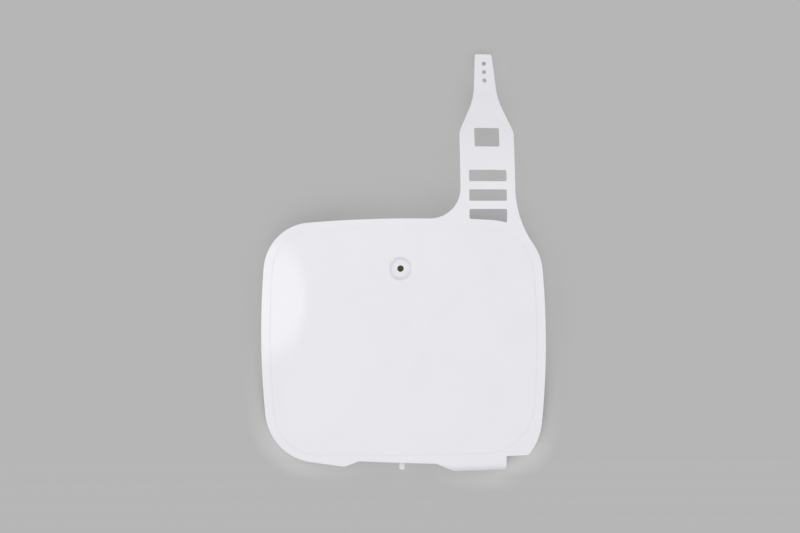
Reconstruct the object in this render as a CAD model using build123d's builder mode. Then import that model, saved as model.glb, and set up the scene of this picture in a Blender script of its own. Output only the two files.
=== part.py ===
from build123d import *
import os
from math import asin, cos, degrees, radians, sin, tan

# A motorbike's racing number board: one moulded plastic board with its own handlebar strap, and the metal bush in its
# bolt hole. X runs to the right seen from the number side, Y runs back from that side towards the bike, and Z is up.
# The origin is on the bolt axis at the back end of the bush, where the board seats on its bracket. Millimetres.

# Bolt seat: a dish for the bolt head, a boss behind it and the metal bush in the boss
bolt_bore = 6.4
bush_diameter = 9.0
bush_length = 13.0
bush_fit = 0.05
bush_chamfer = 0.4
boss_diameter = 15.0
boss_setback = 0.5
dish_floor = 19.4
dish_mouth = 22.6
dish_depth = 4.5
dish_mouth_round = 3.0

# Board wall, and the edge that is turned back all round it
wall = 2.5
edge_wall = 2.2
edge_round = 1.0
bottom_roll = 10.0
lip = 5.5

# Crown of the number face from side to side, and the bend where the strap leans back from it
crown_radius = 420.0
strap_bend = 205.0
strap_lean = 24.0

# Outline of the board: the bolt lies below the top edge and a little left of the middle
board_width = 285.0
board_height = 251.3
bolt_drop = 49.6
board_offset = 2.4
side_bow = 800.0
widest_drop = 118.0
top_bow = 1400.0
upper_left_corner = 49.0
upper_right_corner = 54.0
lower_left_corner = 51.5
lower_right_corner = 58.0

# Bottom edge, measured from the bolt and up from the lowest line: two tabs, a hollow between them, a step at the right
left_tab_x = -57.0
left_tab_rise = 6.3
left_tab_slope = 7.0
hollow_left_x = -42.5
hollow_left_rise = 11.9
hollow_right_x = 34.0
hollow_right_rise = 8.9
right_tab_x = 53.0
step_width = 41.2
step_rise = 14.5
tab_round = 4.0
hollow_round = 9.0
step_inner_round = 1.5
step_outer_round = 5.0
tab_end_round = 9.0

# Number panel, sunk a little below its border
panel_border = 9.2
panel_foot = 18.0
panel_sink = 0.3

# Strap that closes round the handlebar, measured in from the board's right side and up from its top edge
strap_inset = 29.8
strap_width = 55.2
bend_rise = 4.0
shoulder_rise = 86.8
neck_rise = 121.6
neck_width = 24.4
tail_rise = 169.6
tail_width = 17.6
tail_lean = 0.7
shoulder_round = 16.0
neck_round = 70.0
tail_round = 2.0
root_left = 30.0
root_right = 96.0

# Openings in the strap: slots that take the tail, the window above them and the holes in the tail
slot_width = 37.7
slot_height = 11.4
slot_pitch = 19.5
slot_rise = 42.0
slot_round = 1.6
slot_floor = 0.5
window_width = 25.0
window_height = 19.2
window_rise = 81.0
tail_hole = 4.4
tail_hole_pitch = 9.05
tail_hole_end = 10.5

# Peg under the hollow, straight below the bolt, that drops into the lower bracket
peg_diameter = 6.0
peg_length = 7.7
peg_setback = 12.0
peg_nose = 0.8

# Places that follow from the sizes above
overrun = 5.0
reach = board_width + board_height
tool_depth = crown_radius / 4
half_width = board_width / 2
left_side = board_offset - half_width
right_side = board_offset + half_width
top_z = bolt_drop
bottom_z = bolt_drop - board_height
widest_z = top_z - widest_drop
flange_depth = bottom_roll + lip
floor_y = -bush_length - wall
front_y = floor_y - dish_depth
axis_y = front_y + crown_radius
strap_x = right_side - strap_inset - strap_width / 2
tail_z = top_z + tail_rise


# The board's upright section is swept about the upright axis of the crown
sweep = degrees(asin((half_width + overrun) / (crown_radius - tool_depth)))
crown_axis = Axis((board_offset, axis_y, 0), (0, 0, 1))
section_plane = Plane(
    origin=(board_offset, axis_y, 0),
    x_dir=(-sin(radians(sweep)), -cos(radians(sweep)), 0),
    z_dir=(-cos(radians(sweep)), sin(radians(sweep)), 0),
)
roll_centre = (crown_radius - bottom_roll, bottom_z + bottom_roll)
bend_centre = (crown_radius - strap_bend, top_z + bend_rise)
strap_run = (tail_rise + overrun) / cos(radians(strap_lean))


def board_section(front, back):
    """Upright section between two depths below the number face: the bottom roll, the face, the bend and the strap."""
    with BuildSketch() as section:
        with BuildLine():
            roll = CenterArc(roll_centre, bottom_roll - front, -90, 90)
            bend = CenterArc(bend_centre, strap_bend - front, 0, strap_lean)
            Line(roll @ 1, bend @ 0)
            strap = PolarLine(bend @ 1, strap_run, strap_lean + 90)
            back_bend = CenterArc(bend_centre, strap_bend - back, 0, strap_lean)
            back_strap = PolarLine(back_bend @ 1, strap_run, strap_lean + 90)
            Line(strap @ 1, back_strap @ 1)
            Polyline(roll @ 0, (crown_radius - back, bottom_z + front), back_bend @ 0)
        make_face()
    return section.sketch


def bowed_sides(inset):
    """The space between the board's bowed sides and under its bowed top edge, drawn in by an inset."""
    bow_x = side_bow - half_width
    with BuildSketch() as space:
        with Locations((board_offset + bow_x, widest_z)):
            Circle(side_bow - inset)
        with Locations((board_offset - bow_x, widest_z)):
            Circle(side_bow - inset, mode=Mode.INTERSECT)
        with Locations((board_offset, top_z - top_bow)):
            Circle(top_bow - inset, mode=Mode.INTERSECT)
    return space.sketch


# Corners of the bottom edge. The right tab ends on the bottom roll, so the outline runs on below it.
left_end = left_side - overrun
right_end = right_side + overrun
top_end = top_z + overrun
bottom_end = bottom_z - overrun
left_tab = Vector(left_tab_x, bottom_z + left_tab_rise)
hollow_left = Vector(hollow_left_x, bottom_z + hollow_left_rise)
hollow_right = Vector(hollow_right_x, bottom_z + hollow_right_rise)
right_tab = Vector(right_tab_x, bottom_z)
lower_left = left_tab + Vector(-1, tan(radians(left_tab_slope))) * (left_tab_x - left_end)
lower_right = Vector(right_end, bottom_end)
run_on = right_tab + (right_tab - hollow_right) * (overrun / hollow_right_rise)
step = Vector(right_side - step_width, bottom_z + step_rise)
hollow_share = hollow_left_x / (hollow_left_x - hollow_right_x)
hollow_run = hollow_right - hollow_left
peg_root = Vector(0, front_y + peg_setback, hollow_left.Y + hollow_run.Y * hollow_share)
peg_down = Vector(hollow_run.Y, 0, -hollow_run.X).normalized()


def board_outline(inset):
    """Outline of the board without its strap, drawn in by an inset."""
    with BuildSketch() as outline:
        with BuildLine():
            Polyline(
                lower_left,
                left_tab,
                hollow_left,
                hollow_right,
                run_on,
                lower_right,
                (right_end, top_end),
                (left_end, top_end),
                close=True,
            )
        make_face()
        if inset:
            offset(amount=-inset, kind=Kind.INTERSECTION, mode=Mode.REPLACE)
        add(bowed_sides(inset), mode=Mode.INTERSECT)
        for corner, radius in (
            ((left_end, top_end), upper_left_corner - inset),
            ((right_end, top_end), upper_right_corner - inset),
            (lower_left, lower_left_corner - inset),
            (lower_right, lower_right_corner - inset),
            (left_tab, tab_round - inset),
            (hollow_left, hollow_round + inset),
            (hollow_right, hollow_round + inset),
        ):
            fillet(outline.vertices().sort_by_distance(corner)[0], radius=radius)
        with Locations(step + Vector(-inset, inset)):
            Rectangle(reach, reach, align=(Align.MIN, Align.MAX), mode=Mode.SUBTRACT)
        with Locations((step.X - inset, bottom_end + inset)):
            Rectangle((step.X - right_tab_x) / 2, step_rise, align=(Align.MAX, Align.MIN))
        fillet(outline.vertices().sort_by_distance(step)[0], radius=step_inner_round + inset)
        fillet(outline.vertices().sort_by_distance((right_end, step.Y))[0], radius=step_outer_round - inset)
        fillet(outline.vertices().sort_by_distance((step.X, bottom_end))[0], radius=tab_end_round - inset)
    return outline.sketch


with BuildSketch() as panel_outline:
    add(bowed_sides(panel_border))
    with Locations((board_offset, bottom_z + panel_foot)):
        Rectangle(reach, reach, align=(Align.CENTER, Align.MIN), mode=Mode.INTERSECT)
    for corner, radius in (
        ((left_end, top_end), upper_left_corner),
        ((right_end, top_end), upper_right_corner),
        (lower_left, lower_left_corner),
        (lower_right, lower_right_corner),
    ):
        fillet(panel_outline.vertices().sort_by_distance(corner)[0], radius=radius - panel_border)

# Outline of the strap, and of the board and strap together
with BuildSketch() as strap_outline:
    with BuildLine():
        stations = (
            (strap_x, strap_width / 2, top_z - upper_left_corner),
            (strap_x, strap_width / 2, top_z + shoulder_rise),
            (strap_x, neck_width / 2, top_z + neck_rise),
            (strap_x - tail_lean, tail_width / 2, tail_z),
        )
        right = [(x + half, z) for x, half, z in stations]
        left = [(x - half, z) for x, half, z in stations]
        Polyline(*right, *reversed(left), close=True)
    make_face()
    for i, radius in ((1, shoulder_round), (2, neck_round), (3, tail_round)):
        for corner in (left[i], right[i]):
            fillet(strap_outline.vertices().sort_by_distance(corner)[0], radius=radius)

with BuildSketch() as whole_outline:
    add(board_outline(0))
    add(strap_outline.sketch)
    for side, radius in ((-strap_width / 2, root_left), (strap_width / 2, root_right)):
        fillet(whole_outline.vertices().sort_by_distance((strap_x + side, top_z))[0], radius=radius)

# Openings of the strap. The lowest slot reaches down to the board's own top edge and follows its curve.
slot_z = [top_z + slot_rise - i * slot_pitch for i in range(3)]
hole_z = [tail_z - tail_hole_end - i * tail_hole_pitch for i in range(3)]
hole_lean = tail_lean * (hole_z[1] - top_z - neck_rise) / (tail_rise - neck_rise)

with BuildSketch() as lowest_slot:
    with Locations((strap_x, slot_z[-1] + slot_height / 2)):
        Rectangle(slot_width, slot_height + slot_pitch, align=(Align.CENTER, Align.MAX))
    add(board_outline(-slot_floor), mode=Mode.SUBTRACT)
    corners = lowest_slot.vertices().sort_by(Axis.X)
    fillet(corners[:2] + corners[-2:], radius=slot_round)

with BuildSketch() as strap_openings:
    with Locations(*[(strap_x, z) for z in slot_z[:-1]]):
        RectangleRounded(slot_width, slot_height, slot_round)
    with Locations((strap_x, top_z + window_rise)):
        RectangleRounded(window_width, window_height, slot_round)
    with Locations(*[(strap_x - hole_lean, z) for z in hole_z]):
        Circle(tail_hole / 2)
    add(lowest_slot.sketch)

# Space behind the wall, open towards the bike: inside the turned-back edge, and everywhere behind the strap
with BuildPart() as back_space:
    with BuildSketch(section_plane):
        add(board_section(wall, flange_depth + overrun))
    revolve(axis=crown_axis, revolution_arc=2 * sweep)
    with BuildSketch(Plane.XZ):
        Rectangle(2 * reach, 2 * reach)
        add(board_outline(0), mode=Mode.SUBTRACT)
        add(board_outline(edge_wall))
    extrude(amount=reach, both=True, mode=Mode.INTERSECT)

# Space in front of the sunk panel
with BuildPart() as panel_space:
    with BuildSketch(Plane.XZ.offset(-front_y - tool_depth / 2)):
        add(panel_outline.sketch)
    extrude(amount=tool_depth)
    with BuildSketch(section_plane):
        add(board_section(panel_sink, tool_depth))
    revolve(axis=crown_axis, revolution_arc=2 * sweep, mode=Mode.SUBTRACT)

with BuildPart() as number_board:
    with BuildSketch(section_plane):
        add(board_section(0, flange_depth))
    revolve(axis=crown_axis, revolution_arc=2 * sweep)
    with BuildSketch(Plane.XZ):
        add(whole_outline.sketch)
    extrude(amount=reach, both=True, mode=Mode.INTERSECT)
    # The front rim is one smooth chain, so rounding its left side carries on all the way round
    fillet(number_board.edges().sort_by(Axis.X)[:2].sort_by(Axis.Y)[0], radius=edge_round)
    add(back_space.part, mode=Mode.SUBTRACT)
    add(panel_space.part, mode=Mode.SUBTRACT)
    # Dish, boss and bolt hole
    with BuildSketch(Plane.XY):
        with BuildLine():
            Polyline(
                (0, front_y + wall / 2),
                (dish_mouth / 2 + wall, front_y + wall / 2),
                (dish_floor / 2 + wall, floor_y + wall),
                (boss_diameter / 2, floor_y + wall),
                (boss_diameter / 2, -boss_setback),
                (0, -boss_setback),
                close=True,
            )
        make_face()
    revolve(axis=Axis.Y)
    with BuildSketch(Plane.XY):
        with BuildLine():
            Polyline(
                (0, front_y - overrun),
                (dish_mouth / 2, front_y - overrun),
                (dish_mouth / 2, front_y),
                (dish_floor / 2, floor_y),
                (bolt_bore / 2, floor_y),
                (bolt_bore / 2, -bush_length),
                ((bush_diameter + bush_fit) / 2, -bush_length),
                ((bush_diameter + bush_fit) / 2, 0),
                (0, 0),
                close=True,
            )
        make_face()
    revolve(axis=Axis.Y, mode=Mode.SUBTRACT)
    mouth_edge = number_board.edges().sort_by_distance((0, front_y, dish_mouth / 2))[0]
    fillet(mouth_edge, radius=dish_mouth_round)
    # Openings of the strap
    with BuildSketch(Plane.XZ):
        add(strap_openings.sketch)
    extrude(amount=reach, both=True, mode=Mode.SUBTRACT)
    # Peg with a tapered nose, square to the hollow's edge and rooted in it
    with BuildSketch(Plane(origin=peg_root - peg_down * (edge_wall / 2), z_dir=peg_down)):
        Circle(peg_diameter / 2)
    extrude(amount=peg_length + edge_wall / 2)
    peg_tip = peg_root + peg_down * peg_length
    nose_edge = number_board.edges().filter_by(GeomType.CIRCLE).sort_by_distance(peg_tip)[0]
    chamfer(nose_edge, length=peg_nose)

with BuildPart() as bolt_bush:
    with BuildSketch(Plane.XZ):
        Circle(bush_diameter / 2)
        Circle(bolt_bore / 2, mode=Mode.SUBTRACT)
    extrude(amount=bush_length)
    back_edge = bolt_bush.edges().filter_by(GeomType.CIRCLE).group_by(Axis.Y)[-1].sort_by(SortBy.RADIUS)[-1]
    chamfer(back_edge, length=bush_chamfer)

os.makedirs("parts", exist_ok=True)
number_board.part.label = "number_board"
export_step(number_board.part, "parts/number_board.step")
bolt_bush.part.label = "bolt_bush"
export_step(bolt_bush.part, "parts/bolt_bush.step")
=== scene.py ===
from math import atan2, cos, pi, radians, sin

import bpy
from mathutils import Matrix, Vector


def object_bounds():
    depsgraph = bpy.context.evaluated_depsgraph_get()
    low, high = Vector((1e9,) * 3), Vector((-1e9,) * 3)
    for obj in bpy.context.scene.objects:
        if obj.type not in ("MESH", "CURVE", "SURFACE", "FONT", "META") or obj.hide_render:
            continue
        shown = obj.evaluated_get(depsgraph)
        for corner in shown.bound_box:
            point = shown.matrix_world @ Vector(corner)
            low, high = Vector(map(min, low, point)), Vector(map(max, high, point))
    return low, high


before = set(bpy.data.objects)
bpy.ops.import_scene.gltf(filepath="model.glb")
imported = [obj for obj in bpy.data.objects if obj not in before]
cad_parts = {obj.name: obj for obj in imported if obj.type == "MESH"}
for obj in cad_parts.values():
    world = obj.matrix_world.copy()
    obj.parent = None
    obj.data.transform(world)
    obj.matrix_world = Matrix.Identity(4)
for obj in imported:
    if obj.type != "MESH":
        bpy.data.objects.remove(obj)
cad_low, cad_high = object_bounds()

# Number board
# One injection-moulded piece of white polypropylene: the crowned number face, the edge turned back round
# it, the dish for the bolt and the strap. The mould is polished in front, which gives a half gloss, and
# plainly ground behind.
board_white = (0.818, 0.811, 0.85, 1)
board_streak = (0.793, 0.787, 0.826, 1)
front_roughness = 0.09
back_roughness = 0.46
roughness_spread = 0.08
back_turn = (0.15, 0.55)
flow_scale = 16
flow_range = (0.35, 0.75)
flow_share = 0.6
grain_scale = 420
grain_range = (0.3, 0.8)
grain_share = 0.25
front_grain = 0.35
back_grain = 1.0
peel_scale = 2600
peel_share = 0.3
relief_depth = 0.0002
relief_strength = 0.05


class Signal:
    """A value in a material: arithmetic on it adds Math nodes, and node() adds any other node."""

    def __init__(self, tree, socket=None):
        self.tree = tree
        self.socket = socket

    def node(self, kind, settings=None, inputs=None, out=0):
        """Adds a node, sets its settings, then fills its inputs with numbers, colours or other signals."""
        made = self.tree.nodes.new("ShaderNode" + kind)
        for name, value in (settings or {}).items():
            setattr(made, name, value)
        for name, value in (inputs or {}).items():
            if isinstance(value, Signal):
                self.tree.links.new(value.socket, made.inputs[name])
            else:
                made.inputs[name].default_value = value
        return Signal(self.tree, made.outputs[out] if made.outputs else None)

    def math(self, operation, a, b):
        return self.node("Math", {"operation": operation}, {0: a, 1: b})

    def __add__(self, other):
        return self.math("ADD", self, other)

    def __radd__(self, other):
        return self.math("ADD", other, self)

    def __sub__(self, other):
        return self.math("SUBTRACT", self, other)

    def __rsub__(self, other):
        return self.math("SUBTRACT", other, self)

    def __mul__(self, other):
        return self.math("MULTIPLY", self, other)

    def __rmul__(self, other):
        return self.math("MULTIPLY", other, self)

    def ease(self, start, end):
        """0 below start, 1 above end, smooth between."""
        settings = {"interpolation_type": "SMOOTHSTEP"}
        return self.node("MapRange", settings, {"Value": self, "From Min": start, "From Max": end})

    def blend(self, a, b):
        """A colour between a and b by this signal."""
        return self.node("Mix", {"data_type": "RGBA"}, {0: self, 6: a, 7: b}, out=2)


def new_material(name):
    """An empty material and the start of its node tree."""
    made = bpy.data.materials.new(name)
    made.use_nodes = True
    made.node_tree.nodes.clear()
    return made, Signal(made.node_tree)


def surface(start, shader):
    """Ends a material in a shader."""
    start.node("OutputMaterial", None, {"Surface": shader})


def noise(start, place, scale, detail, roughness=0.5, distortion=0.0):
    """A soft irregular pattern from 0 to 1, with its coarseness as a scale per metre."""
    return start.node("TexNoise", None, {
        "Vector": place,
        "Scale": scale,
        "Detail": detail,
        "Roughness": roughness,
        "Distortion": distortion,
    })


white_plastic, start = new_material("white_polypropylene")
place = start.node("TexCoord", out="Object")
normal_y = start.node("SeparateXYZ", None, {"Vector": start.node("NewGeometry", out="Normal")}, out=1)
back = normal_y.ease(*back_turn)
flow = noise(start, place, flow_scale, detail=3, roughness=0.55, distortion=0.8)
grain = noise(start, place, grain_scale, detail=4, roughness=0.6)
peel = noise(start, place, peel_scale, detail=2)
streak = flow.ease(*flow_range) * flow_share + grain.ease(*grain_range) * grain_share
finish = front_roughness + back * (back_roughness - front_roughness) + (grain - 0.5) * roughness_spread
relief = grain * (front_grain + back * (back_grain - front_grain)) + peel * peel_share
bump = start.node("Bump", None, {"Strength": relief_strength, "Distance": relief_depth, "Height": relief})
surface(start, start.node("BsdfPrincipled", None, {
    "Base Color": streak.blend(board_white, board_streak),
    "Roughness": finish,
    "IOR": 1.49,
    "Normal": bump,
}))

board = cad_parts["number_board"]
board.data.materials[0] = white_plastic

# Bolt bush
# A short tube turned from brass bar and pressed into the boss, so that the bolt clamps on metal and not on
# plastic. The tool leaves fine rings on its ends and in its bore, and its yellow has gone dull and greenish.
bush_bright = (0.47, 0.44, 0.2, 1)
bush_dull = (0.26, 0.27, 0.1, 1)
bush_roughness = 0.34
tarnish_roughness = 0.2
tarnish_scale = 320
tarnish_range = (0.3, 0.7)
ring_scale = 900
ring_wobble = 0.6
ring_depth = 0.00005
ring_strength = 0.2

dull_brass, start = new_material("dull_turned_brass")
place = start.node("TexCoord", out="Object")
wave = {"Vector": place, "Scale": ring_scale, "Distortion": ring_wobble}
end_rings = start.node("TexWave", {"wave_type": "RINGS", "rings_direction": "Y"}, wave, out=1)
bore_rings = start.node("TexWave", {"bands_direction": "Y"}, wave, out=1)
rings = end_rings + bore_rings
tarnish = noise(start, place, tarnish_scale, detail=4, roughness=0.6)
bump = start.node("Bump", None, {"Strength": ring_strength, "Distance": ring_depth, "Height": rings})
surface(start, start.node("BsdfPrincipled", None, {
    "Base Color": tarnish.ease(*tarnish_range).blend(bush_bright, bush_dull),
    "Metallic": 1.0,
    "Roughness": bush_roughness + tarnish * tarnish_roughness,
    "Normal": bump,
}))

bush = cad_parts["bolt_bush"]
bush.data.materials[0] = dull_brass

# Backdrop and floor
# The board rests with its lower edges and the end of its strap against a grey sheet, which sweeps forward
# below it into a floor. The board's soft contact shade is painted into the sheet's colour, and a painted
# bounce lightens it under the lower edges. The sheet lets light through to the back of the board. Behind the
# bolt hole the painted shade is deep, with a painted greenish tint for the light that comes off the brass.
paper_grey = (0.468, 0.468, 0.468, 1)
shade_grey = (0.2, 0.2, 0.197, 1)
deep_shade = (0.075, 0.075, 0.073, 1)
brass_shade = (0.058, 0.066, 0.026, 1)
brass_tint_spot = (0.0035, 0.006)
shade_reach = 0.05
shade_from = (-0.1, -1, -0.45)
shade_range = (0.1, 0.95)
cast_reach = 0.1
cast_from = (0, -0.3, -1)
cast_range = (0.33, 0.88)
deep_reach = 0.25
deep_from = (0, -1, 0)
deep_range = (0.12, 0.3)
bounce_reach = 0.022
bounce_from = (0, -0.4, 1)
bounce_gain = 0.45
shade_samples = 16
foot_gap = 0.001
tail_gap = 0.006
sheet_size = 4.0
sweep_drop = 0.07
sweep_radius = 0.3
sweep_steps = 24


def in_sight(start):
    """1 for the camera and for what shows in metal and glass, 0 for light on its way to the object."""
    rays = ("Is Camera Ray", "Is Glossy Ray", "Is Transmission Ray")
    return sum(start.node("LightPath", out=ray) for ray in rays)


def openness(start, reach, facing):
    """How open the sheet is, from 0 to 1, to light from a direction that the object may stand in."""
    toward = start.node("CombineXYZ", None, dict(zip("XYZ", Vector(facing).normalized())))
    inputs = {"Distance": reach, "Normal": toward}
    return start.node("AmbientOcclusion", {"samples": shade_samples}, inputs, out=1)


paper, start = new_material("backdrop_paper")
place = start.node("TexCoord", out="Object")
near = openness(start, shade_reach, shade_from)
cast = openness(start, cast_reach, cast_from)
deep = openness(start, deep_reach, deep_from)
bounce = 1 - openness(start, bounce_reach, bounce_from)
across = start.node("VectorMath", {"operation": "MULTIPLY"}, {0: place, 1: (1, 0, 1)})
from_bore = start.node("VectorMath", {"operation": "LENGTH"}, {0: across}, out=1)
# Painted tint: a small greenish spot in the deep shade straight behind the bolt bore stands for light off the
# brass.
painted_deep_shade = from_bore.ease(*brass_tint_spot).blend(brass_shade, deep_shade)
# Painted shade: the sheet's colour darkens where the board stands close in front of it, and goes deep right
# behind it, in place of a cast shadow.
shade = near.ease(*shade_range) * cast.ease(*cast_range)
tone = deep.ease(*deep_range).blend(painted_deep_shade, shade.blend(shade_grey, paper_grey))
# Painted bounce: the sheet's colour is brightened where the board's lower edges stand close above it.
gain = 1 + bounce * bounce_gain
lit_tone = start.node("VectorMath", {"operation": "SCALE"}, {0: tone, "Scale": gain})
shown = in_sight(start) * (1 - start.node("NewGeometry", out="Backfacing"))
clear = start.node("BsdfTransparent")
glow = start.node("Emission", None, {"Color": lit_tone})
surface(start, start.node("MixShader", None, {0: shown, 1: clear, 2: glow}))

points = [vertex.co for vertex in board.data.vertices]
foot = max((point for point in points if point.z < cad_low.z / 2), key=lambda point: point.y)
tail = max(points, key=lambda point: point.y)
foot_line = Vector((0, foot.y + foot_gap, foot.z))
tail_line = Vector((0, tail.y + tail_gap, tail.z))
up = (tail_line - foot_line).normalized()
forward = Vector((0, -up.z, up.y))
hub = foot_line - up * sweep_drop + forward * sweep_radius
angles = [atan2(up.z, up.y) * step / sweep_steps for step in range(sweep_steps, -1, -1)]
bend = [hub - (forward * cos(angle) + up * sin(angle)) * sweep_radius for angle in angles]
profile = [bend[0] - Vector((0, sheet_size, 0)), *bend, bend[-1] + up * sheet_size]
sides = (Vector((-sheet_size, 0, 0)), Vector((sheet_size, 0, 0)))
strips = [(2 * step, 2 * step + 1, 2 * step + 3, 2 * step + 2) for step in range(len(profile) - 1)]
mesh = bpy.data.meshes.new("paper_sweep")
mesh.from_pydata([point + side for point in profile for side in sides], [], strips)
mesh.materials.append(paper)
sweep = bpy.data.objects.new("paper_sweep", mesh)
bpy.context.scene.collection.objects.link(sweep)

# Light
# A light tent that is brightest in front, a soft key at the upper left, and a softbox to the left whose
# reflection lies along the left side of the crown. Fills light the two edges, and a lamp behind the back.
tent_side = 0.34
tent_front = 1.14
tent_axis = (-0.02, -1, -0.15)
centre = (cad_low + cad_high) / 2

world = bpy.data.worlds.new("light_tent")
world.use_nodes = True
world.node_tree.nodes.clear()
start = Signal(world.node_tree)
direction = {0: start.node("TexCoord", out="Generated"), 1: Vector(tent_axis).normalized()}
ahead = start.node("VectorMath", {"operation": "DOT_PRODUCT"}, direction, out=1)
brightness = tent_side + start.math("MAXIMUM", ahead, 0) * (tent_front - tent_side)
tent = start.node("Background", None, {"Color": brightness})
behind = start.node("Background", None, {"Color": paper_grey})
sky = start.node("MixShader", None, {0: in_sight(start), 1: tent, 2: behind})
start.node("OutputWorld", None, {"Surface": sky})
bpy.context.scene.world = world


def softbox(name, azimuth, elevation, distance, width, height, radiance):
    """An oval soft lamp that faces the object, placed by its angles from the front, of a given brightness."""
    lamp = bpy.data.lights.new(name, "AREA")
    lamp.shape = "ELLIPSE"
    lamp.size = width
    lamp.size_y = height
    lamp.energy = radiance * pi * (pi / 4 * width * height)
    holder = bpy.data.objects.new(name, lamp)
    turn = Matrix.Rotation(radians(azimuth), 4, "Z") @ Matrix.Rotation(radians(90 - elevation), 4, "X")
    holder.matrix_world = Matrix.Translation(centre) @ turn @ Matrix.Translation((0, 0, distance))
    bpy.context.scene.collection.objects.link(holder)


softbox("key", azimuth=-25, elevation=42, distance=1.3, width=0.8, height=0.8, radiance=0.85)
softbox("left_softbox", azimuth=-47, elevation=-2.5, distance=1.5, width=0.76, height=0.22, radiance=1.9)
softbox("left_fill", azimuth=-78, elevation=0, distance=1.6, width=1.3, height=1.3, radiance=0.95)
softbox("right_fill", azimuth=72, elevation=0, distance=1.6, width=1.5, height=1.5, radiance=0.92)
softbox("back_lamp", azimuth=160, elevation=35, distance=1.9, width=1.3, height=1.3, radiance=4.5)

# Camera
# It looks straight at the number face from 1.5 m, and is turned a little, because the board hangs a little
# to the left.
view_distance = 1.5
view_width = 0.7872
view_turn = 0.0089
aim_x = -0.00047
aim_z = 0.00207

camera = bpy.data.cameras.new("camera")
camera.lens = camera.sensor_width * view_distance / view_width
eye = bpy.data.objects.new("camera", camera)
eye.matrix_world = (
    Matrix.Translation((aim_x, cad_low.y - view_distance, aim_z))
    @ Matrix.Rotation(view_turn, 4, "Y")
    @ Matrix.Rotation(pi / 2, 4, "X")
)
bpy.context.scene.collection.objects.link(eye)
bpy.context.scene.camera = eye
bpy.context.scene.view_settings.view_transform = "Standard"
